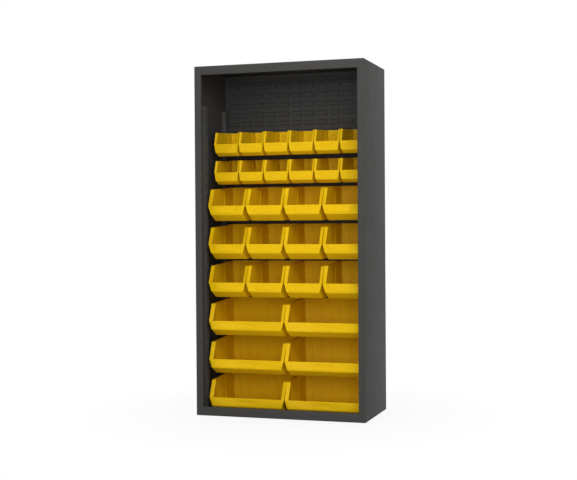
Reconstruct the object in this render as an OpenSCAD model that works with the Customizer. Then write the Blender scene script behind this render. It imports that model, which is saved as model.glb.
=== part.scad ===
// Open-fronted steel cabinet with a louvred back and hanging parts bins.
// The origin is at the middle of the base on the floor: X across, -Y to the front, Z up.

/* [Cabinet] */
// Overall width
cabinet_w = 914.4; // [760:0.1:1100]
// Overall depth
cabinet_d = 457.2; // [380:0.1:560]
// Overall height
cabinet_h = 1828.8; // [1524:0.1:2200]
// Thickness of the folded steel sheet
sheet_t = 1.5; // [1:0.1:3]
// Outside radius of the folds
bend_r = 3; // [3:0.1:6]
// Width of the flange at the front of each side
side_flange_w = 36; // [28:0.5:45]
// Height of the flange at the front of the top and bottom
end_flange_h = 45.5; // [35:0.5:60]
// Depth of the lip folded in behind each front flange
flange_lip_d = 18; // [10:0.5:25]
// Width of the flanges that the back is welded to
rear_flange_w = 16; // [12:0.5:16]

/* [Louvred panels] */
// Distance between columns of louvres
louver_pitch_x = 73.025; // [60:0.1:90]
// Distance between rows of louvres
louver_pitch_z = 50.8; // [42:0.1:61]
// Width of one louvre
louver_w = 50.8; // [40:0.1:56]
// Height of one louvre
louver_h = 23.5; // [19:0.5:28]
// Height of the opening left above a louvre
louver_slot_h = 4; // [2:0.5:6]
// Width of the opening left at each side of a louvre
louver_relief = 2; // [1:0.1:2.5]
// Gap behind the tongue of a louvre
louver_gap = 3.9; // [3.2:0.1:5]
// Height of the lowest louvre mouth above the floor
louver_first_z = 93.5; // [75:0.1:112]
// Room behind the louvred panels
louver_standoff = 6.7; // [5:0.1:12]
// Distance from the cabinet's top to the top of the louvred panels
louver_panel_drop = 47; // [38:0.1:80]
// Distance from the floor to the bottom of the louvred panels
louver_panel_rise = 40; // [30:0.5:48]
// Least height of the louvred panels above the highest louvre mouth
louver_top_margin = 10; // [8:0.5:20]
// Least distance from the louvred panels to the side walls
louver_panel_gap = 17; // [15:0.1:19]
// Columns of louvres on the narrow panel at the right
narrow_columns = 2; // [1:1:3]
// Rows of louvres on the lower of the wide panels
lower_rows = 17; // [12:1:20]

/* [Shelf standards] */
// Distance that a standard stands in from the side wall
standard_w = 24; // [18:0.5:30]
// Depth of a standard from front to back
standard_d = 40; // [32:0.5:48]
// Distance from the cabinet's top to the top of the standards
standard_drop = 197.8; // [150:0.1:300]
// Distance from the cabinet's front to the front standards
standard_setback = 83; // [67:0.1:100]
// Distance from the louvres to the rear standards
standard_rear_gap = 11; // [6:0.5:16]
// Distance between slots
slot_pitch = 57.15; // [46:0.05:68]
// Height of a slot
slot_h = 16; // [10:0.5:22]
// Width of a slot
slot_w = 9.5; // [6:0.5:12]
// Distance from the front corner of a standard to the middle of its slots
slot_inset = 20; // [16:0.5:24]
// Distance from the top of a standard to the middle of its first slot
slot_top_gap = 23; // [18:0.5:30]

/* [Bins] */
// Wall thickness
bin_wall = 2.5; // [2:0.1:3.5]
// Gap between the bins in a row
bin_gap = 1.5; // [1:0.1:4]
// Gap between the outer bins and the shelf standards
bin_side_gap = 12.6; // [8:0.1:20]
// Distance that the hook reaches down behind a louvre
hook_reach = 12; // [8:0.5:15]
// Thickness of the hook's hanging leg
hook_t = 2; // [1.5:0.1:2.5]
// Thickness of the hook's bridge over the louvre
hook_bridge_t = 3; // [2:0.1:4]
// Distance from the hook's ends to the bin's sides
hook_inset = 10; // [6:0.5:20]
// Free height over each bin to lift it off its louvres
bin_lift = 20; // [14:0.5:25]
// Least gap between the lowest bins and the cabinet's bottom
bin_floor_gap = 1.5; // [1:0.1:2.5]
// Clearance between a hanging bin and the louvres
seat_gap = 0.3; // [0.3:0.1:0.5]
// Clearance between a hook's leg and the louvre's tongue
leg_gap = 0.4; // [0.3:0.1:0.6]
// Thickness of the flange along the sloping edges, measured from front to back
wing_t = 3.8; // [3:0.1:5]
// Distance that the flange on the sloping edges stands in past the front's lower corners
wing_over = 2; // [1:0.1:3]
// Inset of the lip's ends from the rim, as a share of the inset of the lower corners
lip_share = 0.08; // [0.05:0.01:0.3]
// Rise of the rim and the bottom towards the back, as a share of their length
bin_rise = 0.06; // [0.03:0.005:0.08]
// Thickness of the flange round the rim
rim_t = 3; // [2:0.1:4]
// Height of the turned-down edge of the rim
rim_skirt_h = 9; // [6:0.5:12]
// Height of the label recess in a bin's front
label_h = 26; // [15:0.5:30]
// Depth of the label recess
label_recess = 0.8; // [0.4:0.1:1.2]

/* [Small bins] */
// Bins in each row
small_columns = 6; // [4:1:8]
// Height from the bottom to the rim
small_h = 127; // [105:0.5:153]
// Distance from the cabinet's front to the bin's front
small_setback = 178; // [150:0.1:200]
// Height of the rim above the underside of the hook
small_hook_drop = 30.6; // [25:0.1:37]
// Height of the front lip above the bottom
small_lip_h = 64; // [50:0.5:75]
// Height of the chamfer under the front
small_chin_h = 17; // [10:0.5:25]
// Length of the chamfer under the front
small_chin_run = 36; // [20:0.5:50]
// Distance that the open front slopes back from lip to rim
small_slope_run = 24; // [15:0.5:35]
// Distance that the front's lower corners stand in from the rim
small_corner_in = 8.6; // [6:0.1:12]
// Length over which the sides draw in towards the front
small_corner_run = 100; // [80:1:120]
// Distance that the flange on the sloping edges leans back towards its inner edge
small_wing_d = 5; // [4:0.1:6]
// Distance that the bottom stands in from the rim on each side
small_floor_in = 5.5; // [4:0.1:8]
// Distance that the top of the walls stands in from the rim
small_rim_in = 3; // [2.5:0.1:4]
// Width of the label recess
small_label_w = 60; // [40:1:80]

/* [Medium and large bins] */
// Medium bins in each row
medium_columns = 4; // [3:1:5]
// Large bins in each row
large_columns = 2; // [1:1:3]
// Height from the bottom to the rim
deep_h = 168; // [140:0.5:202]
// Distance from the cabinet's front to the bin's front
deep_setback = 85; // [68:0.1:102]
// Height of the rim above the underside of the hook
deep_hook_drop = 27.1; // [22:0.1:33]
// Height of the front lip above the bottom
deep_lip_h = 81; // [65:0.5:95]
// Height of the chamfer under the front
deep_chin_h = 33; // [20:0.5:40]
// Length of the chamfer under the front
deep_chin_run = 65; // [40:0.5:80]
// Distance that the open front slopes back from lip to rim
deep_slope_run = 41; // [25:0.5:55]
// Distance that the front's lower corners stand in from the rim
deep_corner_in = 15; // [10:0.1:20]
// Length over which the sides draw in towards the front
deep_corner_run = 160; // [128:1:192]
// Distance that the flange on the sloping edges leans back towards its inner edge
deep_wing_d = 8; // [6.5:0.1:9.5]
// Distance that the bottom stands in from the rim on each side
deep_floor_in = 8.5; // [6:0.1:12]
// Distance that the top of the walls stands in from the rim
deep_rim_in = 4; // [3:0.1:5]
// Width of the label recess
deep_label_w = 90; // [60:1:110]

/* [Hidden] */
SMALL_ROWS = [1, 2];
MEDIUM_ROWS = [3, 4, 5];
LARGE_ROWS = [6, 7, 8];

steel = [0.29, 0.29, 0.28];
louver_steel = [0.25, 0.25, 0.25];
yellow = [0.93, 0.74, 0.08];

half_w = cabinet_w / 2;
front_y = -cabinet_d / 2;
rear_y = cabinet_d / 2;
shell_rear_y = rear_y - sheet_t;
inner_w = half_w - sheet_t;
cut = 1; // distance that a cutting shape runs past a face

// Louvred panels, from the back sheet forwards
louver_back_y = shell_rear_y - louver_standoff;
louver_face_y = louver_back_y - sheet_t;
tongue_inner_y = louver_face_y - louver_gap;
tongue_outer_y = tongue_inner_y - sheet_t;
louver_columns = floor(2 * (inner_w - louver_panel_gap) / louver_pitch_x);
louver_left_x = -louver_columns * louver_pitch_x / 2;
louver_seam_x = louver_left_x + (louver_columns - narrow_columns) * louver_pitch_x;
louver_top_z = cabinet_h - louver_panel_drop;
louver_rows = floor((louver_top_z - louver_first_z - louver_top_margin) / louver_pitch_z) + 1;
louver_seam_z = louver_first_z + lower_rows * louver_pitch_z - (louver_pitch_z + louver_h) / 2;

rear_standard_y = tongue_outer_y - standard_rear_gap - standard_d;

// Bins
bin_back_y = tongue_outer_y - seat_gap;
bin_span = 2 * (inner_w - standard_w - bin_side_gap);
leg_y = tongue_inner_y + leg_gap - bin_back_y;
function mouth_z(row) = louver_first_z + row * louver_pitch_z;
lowest_row = LARGE_ROWS[len(LARGE_ROWS) - 1];
function row_drop(row) = row < MEDIUM_ROWS[0] ? small_hook_drop : deep_hook_drop;
function row_below_hook(row) = (row < MEDIUM_ROWS[0] ? small_h : deep_h) - row_drop(row);
function row_sizes(row) = row < MEDIUM_ROWS[0] ? small_sizes : deep_sizes;

// Louvre row that a row of bins hangs on, counted up from the lowest louvres
function hook_row(row) =
  row == lowest_row
    ? ceil((sheet_t + bin_floor_gap + row_below_hook(row) - seat_gap - louver_first_z) / louver_pitch_z)
    : hook_row(row + 1) + ceil((row_below_hook(row) + row_drop(row + 1) + bin_lift
        + rim_rise(row_sizes(row + 1)) - floor_rise(row_sizes(row))) / louver_pitch_z);

// Points of an arc about [x, y] from angle a to angle b
function arc(x, y, r, a, b, steps = 4) =
  [for (i = [0:steps]) let (t = a + (b - a) * i / steps) [x + r * cos(t), y + r * sin(t)]];

// ---- Cabinet shell ----

// Outline of the right side seen from above: wall, front flange with its lip, and rear flange
module side_outline() {
  inner_r = bend_r - sheet_t;
  flange_x = half_w - side_flange_w;
  lip_y = front_y + flange_lip_d;
  rear_x = half_w - rear_flange_w;
  polygon(concat(
    [[flange_x, lip_y]],
    arc(flange_x + bend_r, front_y + bend_r, bend_r, 180, 270),
    arc(half_w - bend_r, front_y + bend_r, bend_r, 270, 360),
    arc(half_w - bend_r, shell_rear_y - bend_r, bend_r, 0, 90),
    [[rear_x, shell_rear_y], [rear_x, shell_rear_y - sheet_t]],
    arc(half_w - bend_r, shell_rear_y - bend_r, inner_r, 90, 0),
    arc(half_w - bend_r, front_y + bend_r, inner_r, 360, 270),
    arc(flange_x + bend_r, front_y + bend_r, inner_r, 270, 180),
    [[flange_x + sheet_t, lip_y]]
  ));
}

module side_panel() {
  color(steel)
    translate([0, 0, sheet_t])
      linear_extrude(cabinet_h - 2 * sheet_t) side_outline();
}

// Outline of the bottom seen from the right: floor, front flange with its lip, and rear flange
module end_outline() {
  inner_r = bend_r - sheet_t;
  lip_y = front_y + flange_lip_d;
  polygon(concat(
    [[lip_y, end_flange_h]],
    arc(front_y + bend_r, end_flange_h - bend_r, bend_r, 90, 180),
    arc(front_y + bend_r, bend_r, bend_r, 180, 270),
    arc(shell_rear_y - bend_r, bend_r, bend_r, 270, 360),
    [[shell_rear_y, rear_flange_w], [shell_rear_y - sheet_t, rear_flange_w]],
    arc(shell_rear_y - bend_r, bend_r, inner_r, 360, 270),
    arc(front_y + bend_r, bend_r, inner_r, 270, 180),
    arc(front_y + bend_r, end_flange_h - bend_r, inner_r, 180, 90),
    [[lip_y, end_flange_h - sheet_t]]
  ));
}

// The flange fits between the side flanges, and the flat sheet covers the ends of the side panels
module end_panel() {
  flange_x = half_w - side_flange_w;
  color(steel) {
    rotate([90, 0, 90])
      translate([0, 0, -flange_x])
        linear_extrude(2 * flange_x) end_outline();
    for (x = [-half_w, flange_x])
      translate([x, front_y, 0]) cube([side_flange_w, shell_rear_y - front_y, sheet_t]);
  }
}

module back_panel() {
  color(steel)
    translate([-half_w, shell_rear_y, 0]) cube([cabinet_w, sheet_t, cabinet_h]);
}

// ---- Louvred panels ----

// One tongue: joggled out of the sheet at its foot, open at its mouth and its sides
module louver_tongue(x, z) {
  joggle = louver_face_y - tongue_outer_y;
  slant_t = sheet_t * sqrt(2); // thickness of the sheet measured up its slope of 45 degrees
  foot_z = z - louver_h;
  rotate([90, 0, 90])
    translate([0, 0, x - louver_w / 2])
      linear_extrude(louver_w)
        polygon([
          [louver_face_y, foot_z],
          [tongue_outer_y, foot_z + joggle],
          [tongue_outer_y, z],
          [tongue_inner_y, z],
          [tongue_inner_y, foot_z + joggle + slant_t - sheet_t],
          [louver_face_y, foot_z + slant_t],
          [louver_back_y, foot_z + slant_t],
          [louver_back_y, foot_z]
        ]);
}

// Sheet with a window round each tongue and its side edges turned back to the back sheet
module louver_panel(x0, x1, z0, z1, first_row, last_row) {
  columns = round((x1 - x0) / louver_pitch_x);
  color(louver_steel) {
    rotate([90, 0, 0])
      translate([0, 0, -louver_back_y])
        linear_extrude(sheet_t)
          difference() {
            translate([x0, z0]) square([x1 - x0, z1 - z0]);
            for (row = [first_row:last_row], column = [0:columns - 1])
              translate([
                x0 + (column + 0.5) * louver_pitch_x - louver_w / 2 - louver_relief,
                mouth_z(row) - louver_h
              ])
                square([louver_w + 2 * louver_relief, louver_h + louver_slot_h]);
          }
    for (row = [first_row:last_row], column = [0:columns - 1])
      louver_tongue(x0 + (column + 0.5) * louver_pitch_x, mouth_z(row));
    for (x = [x0, x1 - sheet_t])
      translate([x, louver_back_y, z0]) cube([sheet_t, louver_standoff, z1 - z0]);
  }
}

// ---- Shelf standards ----

// Slotted channel on the right wall, open towards the wall, with its front face at y
module shelf_standard(y) {
  height = cabinet_h - standard_drop - sheet_t;
  slots = floor((height - 2 * slot_top_gap) / slot_pitch) + 1;
  color(steel)
    translate([inner_w - standard_w, y, sheet_t])
      difference() {
        cube([standard_w, standard_d, height]);
        translate([sheet_t, sheet_t, -cut])
          cube([standard_w, standard_d - 2 * sheet_t, height + 2 * cut]);
        for (i = [0:slots - 1])
          translate([-cut, slot_inset - slot_w / 2, height - slot_top_gap - i * slot_pitch - slot_h / 2])
            cube([sheet_t + 2 * cut, slot_w, slot_h]);
      }
}

// ---- Bins ----
// A bin's own frame has its back at y = 0, its front at y = -length and its bottom at z = 0.
// Its sizes come as [height, length, lip height, chamfer height, chamfer run, slope run,
// corner inset, corner run, floor inset, rim inset, label width, hook drop, flange lean].

small_sizes = [
  small_h, bin_back_y - front_y - small_setback, small_lip_h, small_chin_h, small_chin_run, small_slope_run,
  small_corner_in, small_corner_run, small_floor_in, small_rim_in, small_label_w, small_hook_drop, small_wing_d
];
deep_sizes = [
  deep_h, bin_back_y - front_y - deep_setback, deep_lip_h, deep_chin_h, deep_chin_run, deep_slope_run,
  deep_corner_in, deep_corner_run, deep_floor_in, deep_rim_in, deep_label_w, deep_hook_drop, deep_wing_d
];
function bin_h(sizes) = sizes[0];
function bin_l(sizes) = sizes[1];
function lip_h(sizes) = sizes[2];
function chin_h(sizes) = sizes[3];
function chin_run(sizes) = sizes[4];
function slope_run(sizes) = sizes[5];
function corner_in(sizes) = sizes[6];
function corner_run(sizes) = sizes[7];
function floor_in(sizes) = sizes[8];
function rim_in(sizes) = sizes[9];
function label_w(sizes) = sizes[10];
function hook_drop(sizes) = sizes[11];
function wing_d(sizes) = sizes[12];
function wing_w(sizes) = corner_in(sizes) + wing_over;
function rim_front(sizes) = -bin_l(sizes) + slope_run(sizes) + wing_t / 2; // inside the flange on the slope
function rim_rise(sizes) = -rim_front(sizes) * bin_rise;
function floor_rise(sizes) = (bin_l(sizes) - chin_run(sizes)) * bin_rise;

// Solid seen from the right, from an outline in y and z
module across(half) {
  rotate([90, 0, 90])
    translate([0, 0, -half])
      linear_extrude(2 * half) children();
}

// Solid of a bin's body, drawn in by inset all round and open upwards and forwards when it is a hollow
module bin_body(sizes, half, inset, hollow) {
  h = bin_h(sizes);
  l = bin_l(sizes);
  over = hollow ? cut : 0;
  top = h + rim_rise(sizes) + over;
  slope_y = -l + wing_d(sizes);
  chin_slope = chin_run(sizes) / chin_h(sizes);
  intersection() {
    across(half)
      polygon(hollow
        ? [
            [-inset, floor_rise(sizes) + inset], [-inset, top], [-l - over, top], [-l - over, lip_h(sizes)],
            [-l + inset, lip_h(sizes)], [-l + inset, chin_h(sizes) + inset / 2],
            [-l + chin_run(sizes) + inset - inset * chin_slope / 2, inset]
          ]
        : [
            [0, floor_rise(sizes)], [0, top], [slope_y + slope_run(sizes), h], [slope_y, lip_h(sizes)],
            [-l, lip_h(sizes)], [-l, chin_h(sizes)], [-l + chin_run(sizes), 0]
          ]);
    rotate([90, 0, 0])
      translate([0, 0, -over])
        linear_extrude(l + 2 * over)
          polygon([
            [half - floor_in(sizes) - inset, 0], [half - rim_in(sizes) - inset, h],
            [half - rim_in(sizes) - inset, top], [-half + rim_in(sizes) + inset, top],
            [-half + rim_in(sizes) + inset, h], [-half + floor_in(sizes) + inset, 0]
          ]);
    linear_extrude(top)
      polygon([
        [half - inset, over], [half - inset, -l + corner_run(sizes)], [half - corner_in(sizes) - inset, -l],
        [half - corner_in(sizes) - inset, -l - over], [-half + corner_in(sizes) + inset, -l - over],
        [-half + corner_in(sizes) + inset, -l], [-half + inset, -l + corner_run(sizes)], [-half + inset, over]
      ]);
  }
}

// Limits of the rim and of the front, seen from the front
module front_limits(sizes, half) {
  h = bin_h(sizes);
  top = h + rim_rise(sizes);
  lip_in = corner_in(sizes) * lip_share;
  rotate([90, 0, 0])
    linear_extrude(bin_l(sizes))
      polygon([
        [half - corner_in(sizes), chin_h(sizes)], [half - lip_in, lip_h(sizes)], [half, h], [half, top],
        [-half, top], [-half, h], [-half + lip_in, lip_h(sizes)], [-half + corner_in(sizes), chin_h(sizes)]
      ]);
}

// Flange along one sloping edge, with its outer edge forwards and its inner edge on the wall
module wing(sizes, half) {
  rise = bin_h(sizes) - lip_h(sizes);
  lean = atan(slope_run(sizes) / rise);
  depth = wing_d(sizes) * cos(lean);
  over = wing_w(sizes); // runs past both ends, which are trimmed level
  translate([0, -bin_l(sizes), lip_h(sizes)])
    rotate([-lean, 0, 0])
      translate([0, 0, -over])
        linear_extrude(rise / cos(lean) + 2 * over)
          polygon([
            [half, 0], [half - wing_w(sizes), depth],
            [half - wing_w(sizes), depth + wing_t], [half, wing_t]
          ]);
}

// Solid corner that joins the front and the wall, under the foot of the flange
module corner_gusset(sizes, half) {
  translate([0, -bin_l(sizes), chin_h(sizes)])
    linear_extrude(lip_h(sizes) - chin_h(sizes))
      polygon([
        [half, 0], [half - corner_in(sizes) - bin_wall / 2, 0],
        [half - corner_in(sizes) - bin_wall / 2, wing_d(sizes) + wing_t], [half, wing_t]
      ]);
}

// Layer of the rim, down to a depth below its rising top
module rim_layer(sizes, half, depth) {
  front = rim_front(sizes);
  back_z = bin_h(sizes) + rim_rise(sizes);
  across(half)
    polygon([[front, bin_h(sizes) - depth], [0, back_z - depth], [0, back_z], [front, bin_h(sizes)]]);
}

// Flange round the rim, with a turned-down edge, that runs forward to the flanges on the slopes
module rim(sizes, half) {
  top = bin_h(sizes) + rim_rise(sizes);
  front = rim_front(sizes);
  inner = half - wing_w(sizes);
  intersection() {
    linear_extrude(top)
      polygon([
        [half, 0], [half, front], [inner, front + wing_d(sizes)],
        [-inner, front + wing_d(sizes)], [-half, front], [-half, 0]
      ]);
    union() {
      rim_layer(sizes, half, rim_t);
      intersection() {
        rim_layer(sizes, half, rim_skirt_h);
        for (x = [-half, half - rim_in(sizes)])
          translate([x, front, 0]) cube([rim_in(sizes), -front, top]);
      }
    }
  }
}

// Strip across the back that hangs over the louvres
module hook(sizes, half) {
  z = bin_h(sizes) - hook_drop(sizes);
  x = half - hook_inset;
  translate([-x, -bin_wall / 2, z]) cube([2 * x, leg_y + hook_t + bin_wall / 2, hook_bridge_t]);
  translate([-x, leg_y, z - hook_reach]) cube([2 * x, hook_t, hook_reach + hook_bridge_t]);
}

module bin(sizes, width) {
  half = width / 2;
  color(yellow) {
    difference() {
      union() {
        bin_body(sizes, half, 0, false);
        intersection() {
          front_limits(sizes, half);
          union() {
            rim(sizes, half);
            for (m = [0, 1]) mirror([m, 0, 0]) corner_gusset(sizes, half);
          }
        }
      }
      bin_body(sizes, half, bin_wall, true);
      translate([-label_w(sizes) / 2, -bin_l(sizes) - cut, (chin_h(sizes) + lip_h(sizes) - label_h) / 2])
        cube([label_w(sizes), label_recess + cut, label_h]);
    }
    intersection() {
      front_limits(sizes, half);
      translate([-half, -bin_l(sizes), lip_h(sizes)])
        cube([2 * half, bin_l(sizes), bin_h(sizes) - lip_h(sizes)]);
      for (m = [0, 1]) mirror([m, 0, 0]) wing(sizes, half);
    }
    hook(sizes, half);
  }
}

// A bin hung in its place: rows count down from the top, and columns from the left
module hung_bin(sizes, row, column, columns) {
  pitch = bin_span / columns;
  translate([
    (column - (columns + 1) / 2) * pitch,
    bin_back_y,
    mouth_z(hook_row(row)) + seat_gap - bin_h(sizes) + hook_drop(sizes)
  ])
    bin(sizes, pitch - bin_gap);
}

// ---- Nodes ----

mirror([1, 0, 0]) side_panel();  // side_panel_left
side_panel();  // side_panel_right
translate([0, 0, cabinet_h]) mirror([0, 0, 1]) end_panel();  // top_panel
end_panel();  // bottom_panel
back_panel();
louver_panel(louver_left_x, louver_seam_x, louver_seam_z, louver_top_z, lower_rows, louver_rows - 1);  // louver_panel_upper
louver_panel(louver_left_x, louver_seam_x, louver_panel_rise, louver_seam_z, 0, lower_rows - 1);  // louver_panel_lower
louver_panel(louver_seam_x, -louver_left_x, louver_panel_rise, louver_top_z, 0, louver_rows - 1);  // louver_panel_side
mirror([1, 0, 0]) shelf_standard(front_y + standard_setback);  // standard_front_left
shelf_standard(front_y + standard_setback);  // standard_front_right
mirror([1, 0, 0]) shelf_standard(rear_standard_y);  // standard_rear_left
shelf_standard(rear_standard_y);  // standard_rear_right
for (r = SMALL_ROWS, c = [1:small_columns])
  hung_bin(small_sizes, r, c, small_columns);
for (r = MEDIUM_ROWS, c = [1:medium_columns])
  hung_bin(deep_sizes, r, c, medium_columns);
for (r = LARGE_ROWS, c = [1:large_columns])
  hung_bin(deep_sizes, r, c, large_columns);
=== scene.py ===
import math

import bmesh
import bpy
from mathutils import Matrix, Vector


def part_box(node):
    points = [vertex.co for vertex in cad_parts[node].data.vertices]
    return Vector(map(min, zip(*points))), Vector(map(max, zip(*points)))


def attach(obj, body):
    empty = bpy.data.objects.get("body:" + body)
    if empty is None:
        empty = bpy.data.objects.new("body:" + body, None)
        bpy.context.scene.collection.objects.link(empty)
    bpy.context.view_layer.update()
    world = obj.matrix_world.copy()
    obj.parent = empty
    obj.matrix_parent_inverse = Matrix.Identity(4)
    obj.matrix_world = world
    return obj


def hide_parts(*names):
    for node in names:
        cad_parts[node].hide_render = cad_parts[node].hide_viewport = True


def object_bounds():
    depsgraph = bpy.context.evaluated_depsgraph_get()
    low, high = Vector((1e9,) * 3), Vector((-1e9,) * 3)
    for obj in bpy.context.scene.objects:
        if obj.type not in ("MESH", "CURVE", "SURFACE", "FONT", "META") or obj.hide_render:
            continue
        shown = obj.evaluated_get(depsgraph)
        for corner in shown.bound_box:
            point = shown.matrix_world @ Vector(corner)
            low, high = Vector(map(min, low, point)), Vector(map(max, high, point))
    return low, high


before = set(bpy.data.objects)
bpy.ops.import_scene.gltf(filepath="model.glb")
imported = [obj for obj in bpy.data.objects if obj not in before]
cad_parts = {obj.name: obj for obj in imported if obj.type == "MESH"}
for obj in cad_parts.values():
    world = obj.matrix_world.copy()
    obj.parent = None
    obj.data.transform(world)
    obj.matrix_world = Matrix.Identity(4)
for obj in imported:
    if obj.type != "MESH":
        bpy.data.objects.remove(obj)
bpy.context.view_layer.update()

tiny = 0.0002  # metres; two places closer than this count as the same place
weldGap = 0.00001  # vertices closer than this are merged

cameraView = {
    "place": (1.8529, -5.7902, 0.9979),
    "turn": 17.9009,  # degrees to the left of straight ahead
    "tilt": -0.7648,
    "roll": 0.3731,
    "lens": 71.3749,  # millimetres, on a sensor 36 mm wide
    "sensor": 36,
    "nearest": 0.05,
    "farthest": 60,
}


def addCamera():
    data = bpy.data.cameras.new("camera")
    data.sensor_width = cameraView["sensor"]
    data.lens = cameraView["lens"]
    data.clip_start = cameraView["nearest"]
    data.clip_end = cameraView["farthest"]
    camera = bpy.data.objects.new("camera", data)
    bpy.context.scene.collection.objects.link(camera)
    turn = Matrix.Rotation(math.radians(cameraView["turn"]), 4, "Z")
    tilt = Matrix.Rotation(math.radians(cameraView["tilt"]), 4, "X")
    roll = Matrix.Rotation(math.radians(cameraView["roll"]), 4, "Y")
    standUp = Matrix.Rotation(math.radians(90), 4, "X")  # a camera looks down its own -Z
    camera.matrix_world = Matrix.Translation(cameraView["place"]) @ turn @ tilt @ roll @ standUp
    bpy.context.scene.camera = camera


addCamera()
print("camera placed")


def deselectAll():
    bpy.ops.object.select_all(action="DESELECT")


def makeActive(obj):
    deselectAll()
    obj.select_set(True)
    bpy.context.view_layer.objects.active = obj


def editMode(on):
    bpy.ops.object.mode_set(mode="EDIT" if on else "OBJECT")


def pick(kind, test):
    # selects the vertices, edges or faces that pass a test, in the mesh that is being edited
    bpy.ops.mesh.select_mode(type={"verts": "VERT", "edges": "EDGE", "faces": "FACE"}[kind])
    bpy.ops.mesh.select_all(action="DESELECT")
    mesh = bmesh.from_edit_mesh(bpy.context.edit_object.data)
    mesh.normal_update()
    for part in getattr(mesh, kind):
        if test(part):
            part.select_set(True)
    bmesh.update_edit_mesh(bpy.context.edit_object.data)


def near(a, b):
    return abs(a - b) < tiny


def cutPlane(point, normal, clear=False, fill=False):
    bpy.ops.mesh.select_all(action="SELECT")
    bpy.ops.mesh.bisect(plane_co=point, plane_no=normal, clear_inner=clear, use_fill=fill, threshold=weldGap)


def stretchAcross(test, factor):
    pick("verts", test)
    bpy.ops.transform.resize(value=(factor, 1, 1), center_override=(0, 0, 0))


def shift(test, step):
    pick("verts", test)
    bpy.ops.transform.translate(value=step)


def extrudeEdges(test, step):
    pick("edges", test)
    bpy.ops.mesh.extrude_region_move(TRANSFORM_OT_translate={"value": step})


def addBlock(name, low, high):
    deselectAll()
    size = [high[i] - low[i] for i in range(3)]
    place = [(high[i] + low[i]) / 2 for i in range(3)]
    bpy.ops.mesh.primitive_cube_add(size=1, location=place, scale=size)
    bpy.ops.object.transform_apply(location=True, rotation=True, scale=True)
    bpy.context.object.name = name
    return bpy.context.object


def applyModifier(obj, kind, settings):
    makeActive(obj)
    modifier = obj.modifiers.new(kind, kind)
    for key, value in settings.items():
        setattr(modifier, key, value)
    bpy.ops.object.modifier_apply(modifier=modifier.name)


def combine(obj, other, operation):
    applyModifier(obj, "BOOLEAN", {"operation": operation, "object": other, "solver": "MANIFOLD"})
    bpy.data.objects.remove(other)


def mirrored(obj, name):
    # a copy of a piece on the other side, turned the right way out
    twin = copyPiece(obj, name)
    twin.data.transform(Matrix.Scale(-1, 4, (1, 0, 0)))
    twin.data.flip_normals()
    return twin


def copyPiece(obj, name, step=(0, 0, 0)):
    twin = obj.copy()
    twin.data = obj.data.copy()
    twin.data.transform(Matrix.Translation(step))
    twin.name = name
    bpy.context.scene.collection.objects.link(twin)
    return twin


def joinPieces(pieces):
    makeActive(pieces[0])
    for piece in pieces:
        piece.select_set(True)
    bpy.ops.object.join()
    return pieces[0]


def softenEdges(obj, width, steps=2, fromAngle=35):
    applyModifier(obj, "BEVEL", {
        "width": width, "segments": steps, "limit_method": "ANGLE", "angle_limit": math.radians(fromAngle),
        "use_clamp_overlap": True, "miter_outer": "MITER_ARC",
    })


def smoothShade(obj, angle=38):
    makeActive(obj)
    bpy.ops.object.shade_smooth_by_angle(angle=math.radians(angle))


binParts = {
    "wall": 0.0025,
    "cornerRadius": 0.006,  # outside radius of the upright and lower corners
    "cornerSteps": 4,
    "cornerFrom": 0.3,  # radians; edges that turn more are rounded as corners
    "edgeRadius": 0.0006,
    "lipShare": 0.08,  # inset of the lip's ends, as a share of the inset of the lower corners
    "wingThickness": 0.0038,
    "gussetRise": 0.003,  # from the chamfer up to the foot of a gusset
    "gussetShare": 0.6,  # of the flange's thickness, at the gusset's outer edge
    "gussetLap": 0.0004,
    "rise": 0.06,  # of the rim and the bottom towards the back, as a share of their length
    "rimThickness": 0.003,
    "skirtHeight": 0.009,  # of the turned-down edge
    "lap": 0.0005,  # how far pieces that join reach into one another
    "overrun": 0.02,  # how far what is cut away runs past the bin
}
smallBin = {
    "height": 0.127, "length": 0.2638, "lipHeight": 0.064, "chinHeight": 0.017, "chinRun": 0.036,
    "slopeRun": 0.024, "cornerIn": 0.0086, "cornerRun": 0.100, "floorIn": 0.0055, "rimIn": 0.003,
    "wingDepth": 0.005, "wingOver": 0.002,  # the flange stands in this far past the lower corner
    "hookDrop": 0.0306,  # from the rim down to the underside of the hook
    "labelWidth": 0.060, "ribPitch": 0.0254, "backRibPitch": 0.0381, "sideRib": 0.062,
}
deepBin = {
    "height": 0.168, "length": 0.3568, "lipHeight": 0.081, "chinHeight": 0.033, "chinRun": 0.065,
    "slopeRun": 0.041, "cornerIn": 0.015, "cornerRun": 0.160, "floorIn": 0.0085, "rimIn": 0.004,
    "wingDepth": 0.008, "wingOver": 0.002, "hookDrop": 0.0271,
    "labelWidth": 0.090, "ribPitch": 0.027, "backRibPitch": 0.054, "sideRib": 0.135,
}
largeBin = {**deepBin, "wingOver": 0.0045}
binSizes = {"small": smallBin, "medium": deepBin, "large": largeBin}


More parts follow.
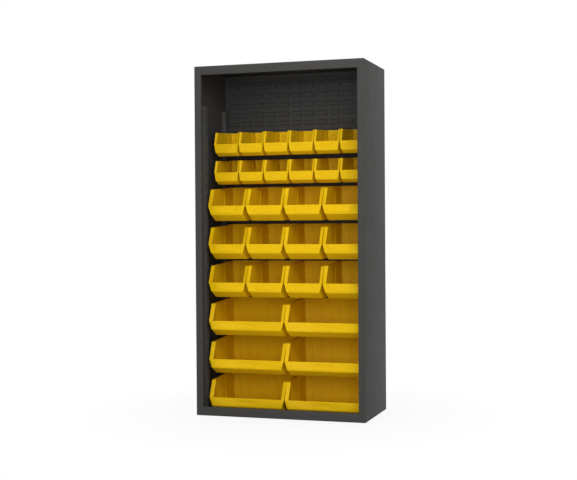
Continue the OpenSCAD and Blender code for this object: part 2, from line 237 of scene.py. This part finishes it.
def tubBlock(name, size, half, inset):
    # closed body of a bin, drawn in by inset all round; the hollow runs on above the rim
    length, height = size["length"], size["height"]
    top = height + (binParts["overrun"] if inset else 0)

    def halfAt(z):
        return half - inset - size["floorIn"] + (size["floorIn"] - size["rimIn"]) * z / height

    block = addBlock(name, (-halfAt(top), -length + inset, inset), (halfAt(top), -inset, top))
    editMode(True)
    stretchAcross(lambda v: near(v.co.z, inset), halfAt(inset) / halfAt(top))
    cutPlane((0, -length + size["cornerRun"], 0), (0, 1, 0))
    frontHalf = half - inset - size["cornerIn"]
    for level in (inset, top):
        stretchAcross(
            lambda v: near(v.co.y, -length + inset) and near(v.co.z, level), frontHalf / halfAt(level)
        )
    chin = Vector((0, size["chinHeight"], size["chinRun"])).normalized()
    cutPlane(Vector((0, -length, size["chinHeight"])) + chin * inset, chin, clear=True, fill=True)
    onTop = lambda v: near(v.co.z, top)
    pick("edges", lambda e: e.calc_face_angle(0) > binParts["cornerFrom"] and not all(map(onTop, e.verts)))
    bpy.ops.mesh.bevel(
        offset=binParts["cornerRadius"] - inset, segments=binParts["cornerSteps"], affect="EDGES"
    )
    editMode(False)
    return block


def openFrontBlock(size, half):
    # what is cut away above the lip and in front of the slopes
    spare = binParts["overrun"]
    foot = -size["length"] + size["wingDepth"]
    block = addBlock(
        "openFront", (-half - spare, -size["length"] - spare, size["lipHeight"]),
        (half + spare, foot, size["height"] + spare),
    )
    rise = size["height"] - size["lipHeight"]
    editMode(True)
    shift(
        lambda v: near(v.co.y, foot) and v.co.z > size["height"],
        (0, size["slopeRun"] * (rise + spare) / rise, 0),
    )
    editMode(False)
    return block


def wingBlock(size, half):
    # flange along the right slope, its outer edge forwards
    front, lip, top = -size["length"], size["lipHeight"], size["height"]
    inner = half - size["cornerIn"] - size["wingOver"]
    block = addBlock("wing", (inner, front, lip), (half, front + binParts["wingThickness"], top))
    editMode(True)
    shift(lambda v: near(v.co.x, inner), (0, size["wingDepth"], 0))
    shift(lambda v: near(v.co.z, top), (0, size["slopeRun"], 0))
    lipEnd = lambda v: near(v.co.z, lip) and near(v.co.x, half)
    shift(lipEnd, (-size["cornerIn"] * binParts["lipShare"], 0, 0))
    editMode(False)
    return block


def gussetBlock(size, half):
    # corner between the front, the wall and the foot of the flange
    front, lip = -size["length"], size["lipHeight"]
    foot = size["chinHeight"] + binParts["gussetRise"]
    inner = half - size["cornerIn"] - binParts["cornerRadius"]
    outer = half - size["cornerIn"] * binParts["lipShare"]
    back = front + size["wingDepth"]
    block = addBlock("gusset", (inner, front, foot), (outer, back, lip))
    editMode(True)
    shift(
        lambda v: near(v.co.x, outer) and near(v.co.y, back),
        (0, binParts["wingThickness"] * binParts["gussetShare"] - size["wingDepth"], 0),
    )
    shift(
        lambda v: near(v.co.x, outer) and near(v.co.z, foot),
        (-size["cornerIn"] * (1 - binParts["lipShare"]) + binParts["gussetLap"], 0, 0),
    )
    editMode(False)
    return block


def rimBlock(size, half):
    # flange round the rim, cut back between the flanges of the slopes
    front = -size["length"] + size["slopeRun"]
    inner = half - size["cornerIn"] - size["wingOver"]
    top = size["height"]
    block = addBlock("rim", (-half, front, top - binParts["rimThickness"]), (half, 0, top))
    editMode(True)
    for x in (-inner, inner):
        cutPlane((x, 0, 0), (1, 0, 0))
    shift(lambda v: abs(v.co.x) < inner + tiny and near(v.co.y, front), (0, size["wingDepth"], 0))
    editMode(False)
    return block


def skirtBlock(size, half):
    # turned-down edge of the right rim
    front = -size["length"] + size["slopeRun"]
    inner = half - size["rimIn"]
    top = size["height"]
    block = addBlock(
        "skirt", (inner - binParts["lap"], front, top - binParts["skirtHeight"]),
        (half, 0, top - binParts["rimThickness"] / 2),
    )
    editMode(True)
    shift(lambda v: v.co.x < inner and near(v.co.y, front), (0, size["rimIn"], 0))
    editMode(False)
    return block


labelHolder = {
    "height": 0.026,
    "depth": 0.0008,  # of the recess in the front
    "sink": 0.0006,  # how far the ledge and the guides reach into the front
    "ledgeHeight": 0.0045,  # sloping strip that holds the foot of a label
    "ledgeReach": 0.0018,
    "ledgeLean": 0.85,  # share of the reach by which its top leans back
    "ledgeEdge": 0.0004,
    "guideHalf": 0.0012,  # half the width of a side guide
    "guideReach": 0.0008,
    "guideLap": 0.001,  # how far a guide runs down into the ledge
    "guideEdge": 0.0003,
}


def labelFoot(size):
    return (size["chinHeight"] + size["lipHeight"] - labelHolder["height"]) / 2


def cutLabelRecess(body, size):
    half, front, low = size["labelWidth"] / 2, -size["length"], labelFoot(size)
    recess = addBlock(
        "recess", (-half, front - binParts["overrun"], low),
        (half, front + labelHolder["depth"], low + labelHolder["height"]),
    )
    combine(body, recess, "DIFFERENCE")


def labelParts(size):
    # sloping ledge and side guides of the label holder on the front
    half, front, low = size["labelWidth"] / 2, -size["length"], labelFoot(size)
    floor = front + labelHolder["depth"] + labelHolder["sink"]
    ledgeTop = low + labelHolder["ledgeHeight"]
    ledge = addBlock("ledge", (-half, front - labelHolder["ledgeReach"], low), (half, floor, ledgeTop))
    editMode(True)
    shift(
        lambda v: near(v.co.z, ledgeTop) and v.co.y < floor - tiny,
        (0, labelHolder["ledgeReach"] * labelHolder["ledgeLean"], 0),
    )
    editMode(False)
    softenEdges(ledge, labelHolder["ledgeEdge"])
    parts = [ledge]
    guideHalf, guideFront = labelHolder["guideHalf"], front - labelHolder["guideReach"]
    for middle in (-half, half):
        guide = addBlock(
            "guide", (middle - guideHalf, guideFront, ledgeTop - labelHolder["guideLap"]),
            (middle + guideHalf, floor, low + labelHolder["height"]),
        )
        softenEdges(guide, labelHolder["guideEdge"])
        parts.append(guide)
    return parts


binRibs = {
    "width": 0.0022,
    "thickness": 0.002,  # of a rib under the chamfer, most of it inside the wall
    "frontGap": 0.004,  # from the front to those ribs, along the bin
    "backGap": 0.002,
    "frontProud": 0.00096,  # how far they stand below the chamfer
    "backProud": 0.00048,
    "sideGap": 0.008,  # from the lower corners to where those ribs may start
    "innerHeight": 0.0022,  # of the ribs on the inside of the back and the side walls
    "innerFoot": 0.004,  # from the floor up to them
    "innerGap": 0.012,  # from the rim down to them, and from the side walls
    "sideLap": 0.001,
}


def chinRib(size):
    # shallow rib on the underside of the chamfer, in the middle of the bin
    half = binRibs["width"] / 2
    front = -size["length"] + binRibs["frontGap"]
    back = -size["length"] + size["chinRun"] - binRibs["backGap"]
    block = addBlock("chinRib", (-half, front, 0), (half, back, binRibs["thickness"]))
    slope = size["chinHeight"] / size["chinRun"]
    frontLevel = size["chinHeight"] - slope * binRibs["frontGap"] - binRibs["frontProud"]
    backLevel = slope * binRibs["backGap"] - binRibs["backProud"]
    editMode(True)
    shift(lambda v: near(v.co.y, front), (0, 0, frontLevel))
    shift(lambda v: near(v.co.y, back), (0, 0, backLevel))
    editMode(False)
    return block


def chinRibs(size, half):
    first = chinRib(size)
    count = math.floor((half - size["cornerIn"] - binRibs["sideGap"]) / size["ribPitch"])
    ribs = [copyPiece(first, "chinRib", (i * size["ribPitch"], 0, 0)) for i in range(-count, count + 1)]
    bpy.data.objects.remove(first)
    return ribs


def innerRibs(size, half):
    # low upright ribs on the inside of the back and the side walls
    wall, rib, height = binParts["wall"], binRibs["width"] / 2, binRibs["innerHeight"]
    foot, top = wall + binRibs["innerFoot"], size["height"] - binRibs["innerGap"]
    pieces = []
    count = math.floor((half - binRibs["innerGap"]) / size["backRibPitch"])
    for i in range(-count, count + 1):
        x = i * size["backRibPitch"]
        pieces.append(
            addBlock("backRib", (x - rib, -wall - height, foot), (x + rib, -wall + binParts["lap"], top))
        )
    inner = half - size["floorIn"] - wall
    right = addBlock(
        "sideRib", (inner - height, -size["sideRib"] - rib, foot),
        (inner + binRibs["sideLap"], -size["sideRib"] + rib, top),
    )
    editMode(True)
    shift(lambda v: v.co.z > size["height"] / 2, (size["floorIn"] - size["rimIn"], 0, 0))
    editMode(False)
    return pieces + [mirrored(right, "sideRib"), right]


binHook = {
    "reach": 0.012,  # down behind a louvre
    "bridge": 0.003,
    "legNear": 0.0022,
    "legFar": 0.0042,
    "inset": 0.010,  # from the side of the bin to the end of the hook
    "root": 0.001,  # how far the bridge reaches into the back
    "edge": 0.0004,
}


def hookPiece(size, half):
    # the strip on the back that hangs behind a louvre
    under = size["height"] - size["hookDrop"]
    reach = half - binHook["inset"]
    bridge = addBlock(
        "bridge", (-reach, -binHook["root"], under), (reach, binHook["legFar"], under + binHook["bridge"])
    )
    leg = addBlock(
        "leg", (-reach, binHook["legNear"], under - binHook["reach"]),
        (reach, binHook["legFar"], under + binParts["lap"]),
    )
    combine(bridge, leg, "UNION")
    softenEdges(bridge, binHook["edge"])
    return bridge


def raiseBack(body, size):
    # the rim and the bottom rise towards the back, and the front stays as it is
    for vertex in body.data.vertices:
        if vertex.co.z > size["height"] / 2:
            start = size["slopeRun"] + binParts["wingThickness"] / 2
        else:
            start = size["chinRun"]
        vertex.co.z += binParts["rise"] * max(0, vertex.co.y + size["length"] - start)


def addBothSides(body, right):
    # joins a piece to the right side of a bin, and its mirror image to the left
    left = mirrored(right, "left")
    combine(body, right, "UNION")
    combine(body, left, "UNION")


def makeBin(name, size, half):
    # in its own place: back at y = 0, front at y = -length, bottom at z = 0
    body = tubBlock(name, size, half, 0)
    combine(body, openFrontBlock(size, half), "DIFFERENCE")
    for maker in (gussetBlock, skirtBlock):
        addBothSides(body, maker(size, half))
    combine(body, rimBlock(size, half), "UNION")
    combine(body, tubBlock("hollow", size, half, binParts["wall"]), "DIFFERENCE")
    addBothSides(body, wingBlock(size, half))
    cutLabelRecess(body, size)
    softenEdges(body, binParts["edgeRadius"])
    body = joinPieces([body] + labelParts(size) + chinRibs(size, half) + innerRibs(size, half))
    raiseBack(body, size)
    body = joinPieces([body, hookPiece(size, half)])
    smoothShade(body)
    return body


def hangBins():
    patterns = {}
    hung = []
    for node in sorted(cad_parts):
        kind = node.split("_")[0]
        if kind not in binSizes:
            continue
        size = binSizes[kind]
        low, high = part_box(node)
        if kind not in patterns:
            patterns[kind] = makeBin(kind + "Pattern", size, (high.x - low.x) / 2)
        place = ((low.x + high.x) / 2, low.y + size["length"], low.z)
        hung.append(copyPiece(patterns[kind], node + "_moulding", place))
        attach(hung[-1], node)
        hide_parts(node)
    for pattern in patterns.values():
        bpy.data.objects.remove(pattern)
    return hung


bins = hangBins()
print("bins hung:", len(bins))

louvers = {
    "pitchX": 0.073025,
    "pitchZ": 0.0508,
    "width": 0.0508,
    "height": 0.0235,
    "slot": 0.004,  # opening above a tongue
    "relief": 0.002,  # opening at each side of a tongue
    "bulge": 0.0054,  # from the front of the sheet to the front of a tongue
    "swell": ((0.25, 0.0025), (0.55, 0.003348), (0.20, 0.0028)),  # steps: share of the bulge, metres up
    "cornerCut": 0.0045,
    "cornerSteps": 3,
    "sheet": 0.0015,
    "firstMouth": 0.0935,  # height of the lowest louvre's opening
    "smoothTo": 50,  # degrees
}


def louverTile():
    # one louvre and the sheet round it, centred on x = 0 with its mouth at z = 0 and the sheet at y = 0
    width, height, bulge = louvers["width"] / 2, louvers["height"], louvers["bulge"]
    wide, slot = width + louvers["relief"], louvers["slot"]
    deselectAll()
    bpy.ops.mesh.primitive_plane_add(size=1, location=(0, 0, 0), rotation=(math.radians(90), 0, 0))
    tile = bpy.context.object
    tile.scale = (louvers["pitchX"], louvers["pitchZ"], 1)
    bpy.ops.object.transform_apply(location=True, rotation=True, scale=True)
    tile.data.transform(Matrix.Translation((0, 0, -height / 2)))
    tile.name = "louverTile"
    editMode(True)
    for x in (-wide, -width, width, wide):
        cutPlane((x, 0, 0), (1, 0, 0))
    for z in (-height, slot):
        cutPlane((0, 0, z), (0, 0, 1))
    inWindow = lambda middle: abs(middle.x) < wide and -height < middle.z < slot
    pick("faces", lambda f: inWindow(f.calc_center_median()))
    bpy.ops.mesh.delete(type="FACE")
    out, level = 0, -height
    onEdge = lambda v: near(v.co.z, level) and near(v.co.y, -out) and abs(v.co.x) < width + tiny
    for share, climb in louvers["swell"]:
        extrudeEdges(lambda e: all(map(onEdge, e.verts)), (0, -bulge * share, climb))
        out += bulge * share
        level += climb
    extrudeEdges(lambda e: all(map(onEdge, e.verts)), (0, 0, -level))
    pick("verts", lambda v: near(v.co.y, -bulge) and near(v.co.z, 0))
    bpy.ops.mesh.bevel(offset=louvers["cornerCut"], segments=louvers["cornerSteps"], affect="VERTICES")
    bpy.ops.mesh.select_all(action="SELECT")
    bpy.ops.mesh.normals_make_consistent(inside=False)
    mesh = bmesh.from_edit_mesh(tile.data)
    mesh.normal_update()
    if sum(f.normal.y * f.calc_area() for f in mesh.faces) > 0:
        bpy.ops.mesh.select_all(action="SELECT")
        bpy.ops.mesh.flip_normals()
    editMode(False)
    return tile


def makeLouverPanel(node, tile):
    low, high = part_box(node)
    faceY = low.y + louvers["bulge"]
    columns = round((high.x - low.x) / louvers["pitchX"])
    firstRow = math.ceil((low.z + louvers["height"] - louvers["firstMouth"]) / louvers["pitchZ"])
    lastRow = math.floor((high.z - louvers["firstMouth"]) / louvers["pitchZ"])
    mouth = louvers["firstMouth"] + firstRow * louvers["pitchZ"]
    panel = copyPiece(tile, node + "_pressing", (low.x + louvers["pitchX"] / 2, faceY, mouth))
    rows = lastRow - firstRow + 1
    for count, step in ((columns, (louvers["pitchX"], 0, 0)), (rows, (0, 0, louvers["pitchZ"]))):
        applyModifier(panel, "ARRAY", {
            "count": count, "use_relative_offset": False, "use_constant_offset": True,
            "constant_offset_displace": step, "use_merge_vertices": True, "merge_threshold": tiny,
        })
    lowEdge = mouth - (louvers["pitchZ"] + louvers["height"]) / 2
    highEdge = lowEdge + rows * louvers["pitchZ"]
    makeActive(panel)
    editMode(True)
    shift(lambda v: near(v.co.z, lowEdge), (0, 0, low.z - lowEdge))
    shift(lambda v: near(v.co.z, highEdge), (0, 0, high.z - highEdge))
    for x in (low.x, high.x):
        extrudeEdges(
            lambda e: all(near(v.co.x, x) and near(v.co.y, faceY) for v in e.verts), (0, high.y - faceY, 0)
        )
    editMode(False)
    applyModifier(panel, "SOLIDIFY", {"thickness": louvers["sheet"], "offset": -1, "use_even_offset": True})
    smoothShade(panel, louvers["smoothTo"])
    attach(panel, "cabinet")
    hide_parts(node)
    return panel


def addLouverPanels():
    tile = louverTile()
    panels = [makeLouverPanel(node, tile) for node in sorted(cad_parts) if node.startswith("louver")]
    bpy.data.objects.remove(tile)
    return panels


louverPanels = addLouverPanels()
print("louvred panels made:", len(louverPanels))

shell = {
    "cornerRadius": 0.003,
    "cornerSteps": 4,
    "sheetEdge": 0.0003,  # rounding of the cut edges of the sheet
    "sheetEdgeFrom": 60,  # degrees; folds that turn less stay as they are
    "flatWithin": 0.5,  # degrees between faces that are made one
    "sideFlange": 0.036,
    "endFlange": 0.0455,
    "fillWidth": 0.007,  # ground weld where the front flanges meet
    "fillDepth": 0.0012,
}


def copyNode(node, name):
    # a merged copy of a CAD node's mesh, ready to be worked on
    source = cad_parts[node]
    piece = bpy.data.objects.new(name, source.data.copy())
    bpy.context.scene.collection.objects.link(piece)
    makeActive(piece)
    if piece.data.has_custom_normals:
        bpy.ops.mesh.customdata_custom_splitnormals_clear()
    editMode(True)
    bpy.ops.mesh.select_all(action="SELECT")
    bpy.ops.mesh.remove_doubles(threshold=weldGap)
    bpy.ops.mesh.dissolve_limited(angle_limit=math.radians(shell["flatWithin"]))
    editMode(False)
    return piece


def roundedBox(low, high):
    block = addBlock("roundedBox", low, high)
    softenEdges(block, shell["cornerRadius"], steps=shell["cornerSteps"])
    return block


def fillCorners(piece, node):
    # ground welds at the ends of a side's front flange
    low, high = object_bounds()
    nodeLow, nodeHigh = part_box(node)
    side = -1 if node.endswith("left") else 1
    edge = high.x - shell["sideFlange"]
    inner, outer = sorted((side * edge, side * (edge + shell["fillWidth"])))
    for z0, z1 in ((nodeLow.z, shell["endFlange"]), (high.z - shell["endFlange"], nodeHigh.z)):
        fill = addBlock("fill", (inner, low.y, z0), (outer, low.y + shell["fillDepth"], z1))
        combine(piece, fill, "UNION")


def finishSheet(piece, node):
    softenEdges(piece, shell["sheetEdge"], fromAngle=shell["sheetEdgeFrom"])
    smoothShade(piece)
    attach(piece, "cabinet")
    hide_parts(node)
    return piece


def addShell():
    pieces = []
    for node in ("side_panel_left", "side_panel_right", "top_panel", "bottom_panel", "back_panel"):
        piece = copyNode(node, node + "_sheet")
        if node.startswith("side"):
            fillCorners(piece, node)
        combine(piece, roundedBox(*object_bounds()), "INTERSECT")
        pieces.append(finishSheet(piece, node))
    return pieces


def addStandards():
    nodes = [node for node in sorted(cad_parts) if node.startswith("standard")]
    return [finishSheet(copyNode(node, node + "_channel"), node) for node in nodes]


shellPieces = addShell()
standards = addStandards()
print("sheets and standards made:", len(shellPieces) + len(standards))


class Wire:
    # a socket of a node, or a sum worked out on it
    def __init__(self, maker, socket):
        self.maker = maker
        self.socket = socket

    def math(self, operation, *values):
        return self.maker.add("ShaderNodeMath", {"operation": operation}, dict(enumerate(values)))

    def __add__(self, other):
        return self.math("ADD", self, other)

    def __radd__(self, other):
        return self.math("ADD", other, self)

    def __sub__(self, other):
        return self.math("SUBTRACT", self, other)

    def __rsub__(self, other):
        return self.math("SUBTRACT", other, self)

    def __mul__(self, other):
        return self.math("MULTIPLY", self, other)

    def __rmul__(self, other):
        return self.math("MULTIPLY", other, self)

    def __truediv__(self, other):
        return self.math("DIVIDE", self, other)

    def __rtruediv__(self, other):
        return self.math("DIVIDE", other, self)

    def part(self, axis):
        return self.maker.add("ShaderNodeSeparateXYZ", {}, {0: self}, axis)


class Finish:
    # one procedural material
    def __init__(self, name):
        self.material = bpy.data.materials.new(name)
        self.material.use_nodes = True
        self.tree = self.material.node_tree
        self.tree.nodes.clear()
        self.place = self.add("ShaderNodeTexCoord", {}, {}, "Object")

    def add(self, kind, settings, values, output=0):
        node = self.tree.nodes.new(kind)
        for key, value in settings.items():
            if key == "stops":
                for stop, (position, tone) in zip(self.rampStops(node, len(value)), value):
                    stop.position = position
                    stop.color = (*tone, 1) if isinstance(tone, tuple) else (tone, tone, tone, 1)
            else:
                setattr(node, key, value)
        for key, value in values.items():
            if isinstance(value, Wire):
                self.tree.links.new(value.socket, node.inputs[key])
            else:
                node.inputs[key].default_value = value
        return Wire(self, node.outputs[output]) if len(node.outputs) else None

    def rampStops(self, node, count):
        while len(node.color_ramp.elements) < count:
            node.color_ramp.elements.new(0.5)
        return node.color_ramp.elements

    def noise(self, scale, detail=2, roughness=0.5, place=None):
        values = {"Vector": place or self.place, "Scale": scale, "Detail": detail, "Roughness": roughness}
        return self.add("ShaderNodeTexNoise", {}, values)

    def ramp(self, value, stops):
        return self.add("ShaderNodeValToRGB", {"stops": stops}, {"Fac": value})

    def mix(self, amount, first, second):
        return self.add("ShaderNodeMix", {"data_type": "RGBA"}, {0: amount, 6: first, 7: second}, 2)

    def bump(self, height, strength, distance):
        return self.add("ShaderNodeBump", {}, {"Height": height, "Strength": strength, "Distance": distance})

    def finish(self, values):
        shader = self.add("ShaderNodeBsdfPrincipled", {}, values)
        self.add("ShaderNodeOutputMaterial", {}, {"Surface": shader})
        return self.material


def shade(tone, factor):
    return tuple(min(1, channel * factor) for channel in tone) + (1,)


# patterns: a noise's scale, in repeats to the metre, and its detail and roughness where they differ
steelLook = {
    "tone": (0.049, 0.048, 0.046),
    "mottle": 0.05, "cloud": (3.1, 3),
    "speck": (620, 2, 0.6), "speckShare": 0.5, "speckLift": 1.35,
    "dust": 0.10, "dustTone": (0.24, 0.23, 0.21), "dustPatch": (9, 4), "dustFrom": 0.55, "dustFull": 0.95,
    "roughness": 0.50, "sheenPatch": (14, 3), "sheenSpread": 0.14, "dustSheen": 0.5, "specular": 0.10,
    "peel": 760, "broadPeel": 91.2, "peelShare": 0.7, "bump": 0.22, "bumpHeight": 0.0004,
}
louverLook = {
    **steelLook, "tone": (0.043, 0.043, 0.042), "dust": 0.16, "dustTone": (0.22, 0.21, 0.20),
    "roughness": 0.46, "specular": 0.16, "bump": 0.20,
}
# the standards have the steel's own paint, drawn lighter here: painted light that makes their faces look more
# brightly lit
standardPaintedLightLook = {**steelLook, "tone": (0.064, 0.063, 0.060)}


def paintedSteel(name, look):
    # dark powder coat: fine orange peel, slight mottling, a little dust on what faces up
    paint = Finish(name)
    cloud = paint.noise(*look["cloud"])
    speck = paint.noise(*look["speck"])
    color = paint.mix(cloud, shade(look["tone"], 1 - look["mottle"]), shade(look["tone"], 1 + look["mottle"]))
    color = paint.mix(speck * look["speckShare"], color, shade(look["tone"], look["speckLift"]))
    up = paint.add("ShaderNodeNewGeometry", {}, {}, "Normal").part(2)
    lying = paint.ramp(up, [(look["dustFrom"], 0.0), (look["dustFull"], 1.0)])
    dust = lying * (paint.noise(*look["dustPatch"]) * look["dust"])
    color = paint.mix(dust, color, look["dustTone"] + (1,))
    patch = paint.noise(*look["sheenPatch"]) * look["sheenSpread"]
    sheen = patch + look["roughness"] + dust * look["dustSheen"]
    broad = paint.noise(look["broadPeel"]) * (1 - look["peelShare"])
    height = paint.noise(look["peel"]) * look["peelShare"] + broad
    return paint.finish({
        "Base Color": color,
        "Roughness": sheen,
        "Specular IOR Level": look["specular"],
        "Normal": paint.bump(height, look["bump"], look["bumpHeight"]),
    })


plasticLook = {
    "tone": (0.830, 0.515, 0.005),
    "flow": (5.3, 3), "flowDark": 0.035, "flowLight": 0.021,
    "scuff": 0.05, "scuffTone": (0.90, 0.70, 0.22), "scuffStretch": (1, 0.16, 1),
    "scuffPattern": (210, 4, 0.65), "scuffFrom": 0.60, "scuffFull": 0.74, "scuffSheen": 0.6,
    "roughness": 0.34, "sheenPatch": (22, 3), "sheenSpread": 0.12, "specular": 0.07,
    "grain": 1500, "ripple": 60, "grainShare": 0.6, "bump": 0.10, "bumpHeight": 0.0003,
}


def mouldedPlastic(name, look):
    # satin moulded surface: faint flow marks, fine grain and light scuffs
    plastic = Finish(name)
    flow = plastic.noise(*look["flow"])
    color = plastic.mix(
        flow, shade(look["tone"], 1 - look["flowDark"]), shade(look["tone"], 1 + look["flowLight"])
    )
    streak = plastic.add("ShaderNodeMapping", {}, {"Vector": plastic.place, "Scale": look["scuffStretch"]})
    scuff = plastic.noise(*look["scuffPattern"], place=streak)
    scuffs = plastic.ramp(scuff, [(look["scuffFrom"], 0.0), (look["scuffFull"], 1.0)]) * look["scuff"]
    color = plastic.mix(scuffs, color, look["scuffTone"] + (1,))
    patch = plastic.noise(*look["sheenPatch"]) * look["sheenSpread"]
    sheen = patch + look["roughness"] + scuffs * look["scuffSheen"]
    ripple = plastic.noise(look["ripple"]) * (1 - look["grainShare"])
    height = plastic.noise(look["grain"]) * look["grainShare"] + ripple
    return plastic.finish({
        "Base Color": color,
        "Roughness": sheen,
        "Specular IOR Level": look["specular"],
        "Normal": plastic.bump(height, look["bump"], look["bumpHeight"]),
    })


def dress(pieces, material):
    for piece in pieces:
        piece.data.materials.clear()
        piece.data.materials.append(material)


def dressNodes(names, material):
    # the CAD nodes stay hidden behind their pieces, and have the same finish
    for name in names:
        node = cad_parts[name]
        for slot in node.material_slots:
            slot.material = material


steelPaint = paintedSteel("steel_paint", steelLook)
louverPaint = paintedSteel("louver_paint", louverLook)
standardPaintedLight = paintedSteel("standard_painted_light", standardPaintedLightLook)
yellowPlastic = mouldedPlastic("yellow_plastic", plasticLook)
dress(shellPieces, steelPaint)
dress(louverPanels, louverPaint)
dress(standards, standardPaintedLight)
dress(bins, yellowPlastic)
dressNodes([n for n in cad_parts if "_bin_" in n], yellowPlastic)
dressNodes([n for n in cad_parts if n.startswith("louver")], louverPaint)
dressNodes([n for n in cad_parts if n.startswith("standard")], standardPaintedLight)
dressNodes([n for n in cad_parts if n.endswith("_panel") or n.startswith("side")], steelPaint)
print("materials set")

studio = {
    "floorSize": 16,
    "floorTone": (0.80, 0.80, 0.80, 1),
    "shadowShare": 0.13,  # how much of the floor's own shading the camera sees near the cabinet
    "shadowReach": 1.15,  # metres from the cabinet at which the floor has faded to white
    "fadeFrom": 0.25,  # share of that reach where the fading starts
    "worldTone": (1.0, 1.0, 1.0, 1),
    "worldStrength": 0.26,
}
lamps = [
    # name, place, point it faces, width, height, watts
    ("key", (1.9, -3.0, 2.9), (0.0, 0.0, 1.4), 1.8, 1.5, 56),
    ("front", (1.2, -5.3, 1.4), (0.0, 0.0, 0.9), 2.6, 2.2, 80),
    ("fill", (-3.2, -4.0, 2.6), (0.0, 0.0, 1.2), 2.6, 2.2, 26),
    ("over", (0.3, -0.6, 4.2), (0.0, -0.2, 1.4), 2.6, 2.0, 30),
    ("back", (-1.2, 4.6, 2.8), (0.0, 0.0, 1.0), 3.0, 2.2, 85),
]


def cameraOrMirror(maker):
    # 1 where the camera, or a mirror or glass, looks at the surface
    rays = maker.add("ShaderNodeLightPath", {}, {}, "Is Camera Ray")
    glossy = maker.add("ShaderNodeLightPath", {}, {}, "Is Glossy Ray")
    through = maker.add("ShaderNodeLightPath", {}, {}, "Is Transmission Ray")
    return rays.math("MAXIMUM", rays, rays.math("MAXIMUM", glossy, through))


def addFloor():
    deselectAll()
    bpy.ops.mesh.primitive_plane_add(size=studio["floorSize"], location=(0, 0, 0))
    floor = bpy.context.object
    floor.name = "floor"
    ground = Finish("floor_white")
    own = ground.add("ShaderNodeBsdfDiffuse", {}, {"Color": studio["floorTone"]})
    white = ground.add("ShaderNodeEmission", {}, {"Color": studio["worldTone"], "Strength": 1})
    away = ground.add("ShaderNodeVectorMath", {"operation": "LENGTH"}, {0: ground.place}, "Value")
    fade = ground.ramp(away / studio["shadowReach"], [(studio["fadeFrom"], 0.0), (1.0, 1.0)])
    seen = cameraOrMirror(ground) * (fade * studio["shadowShare"] + (1 - studio["shadowShare"]))
    mixed = ground.add("ShaderNodeMixShader", {}, {0: seen, 1: own, 2: white})
    ground.add("ShaderNodeOutputMaterial", {}, {"Surface": mixed})
    floor.data.materials.append(ground.material)


class WorldFinish(Finish):
    # the same helpers on the node tree of the world
    def __init__(self, name):
        self.world = bpy.data.worlds.new(name)
        self.world.use_nodes = True
        self.tree = self.world.node_tree
        self.tree.nodes.clear()


def addWorld():
    sky = WorldFinish("studio")
    seen = cameraOrMirror(sky)
    strength = seen * (1 - studio["worldStrength"]) + studio["worldStrength"]
    light = sky.add("ShaderNodeBackground", {}, {"Color": studio["worldTone"], "Strength": strength})
    sky.add("ShaderNodeOutputWorld", {}, {"Surface": light})
    bpy.context.scene.world = sky.world


def addLamps():
    for name, place, target, width, height, watts in lamps:
        data = bpy.data.lights.new(name, "AREA")
        data.shape = "RECTANGLE"
        data.size, data.size_y, data.energy = width, height, watts
        lamp = bpy.data.objects.new(name, data)
        bpy.context.scene.collection.objects.link(lamp)
        aim = Vector(target) - Vector(place)
        lamp.matrix_world = Matrix.Translation(place) @ aim.to_track_quat("-Z", "Y").to_matrix().to_4x4()


addFloor()
addWorld()
addLamps()
bpy.context.scene.view_settings.view_transform = "Standard"
print("floor and lights set")
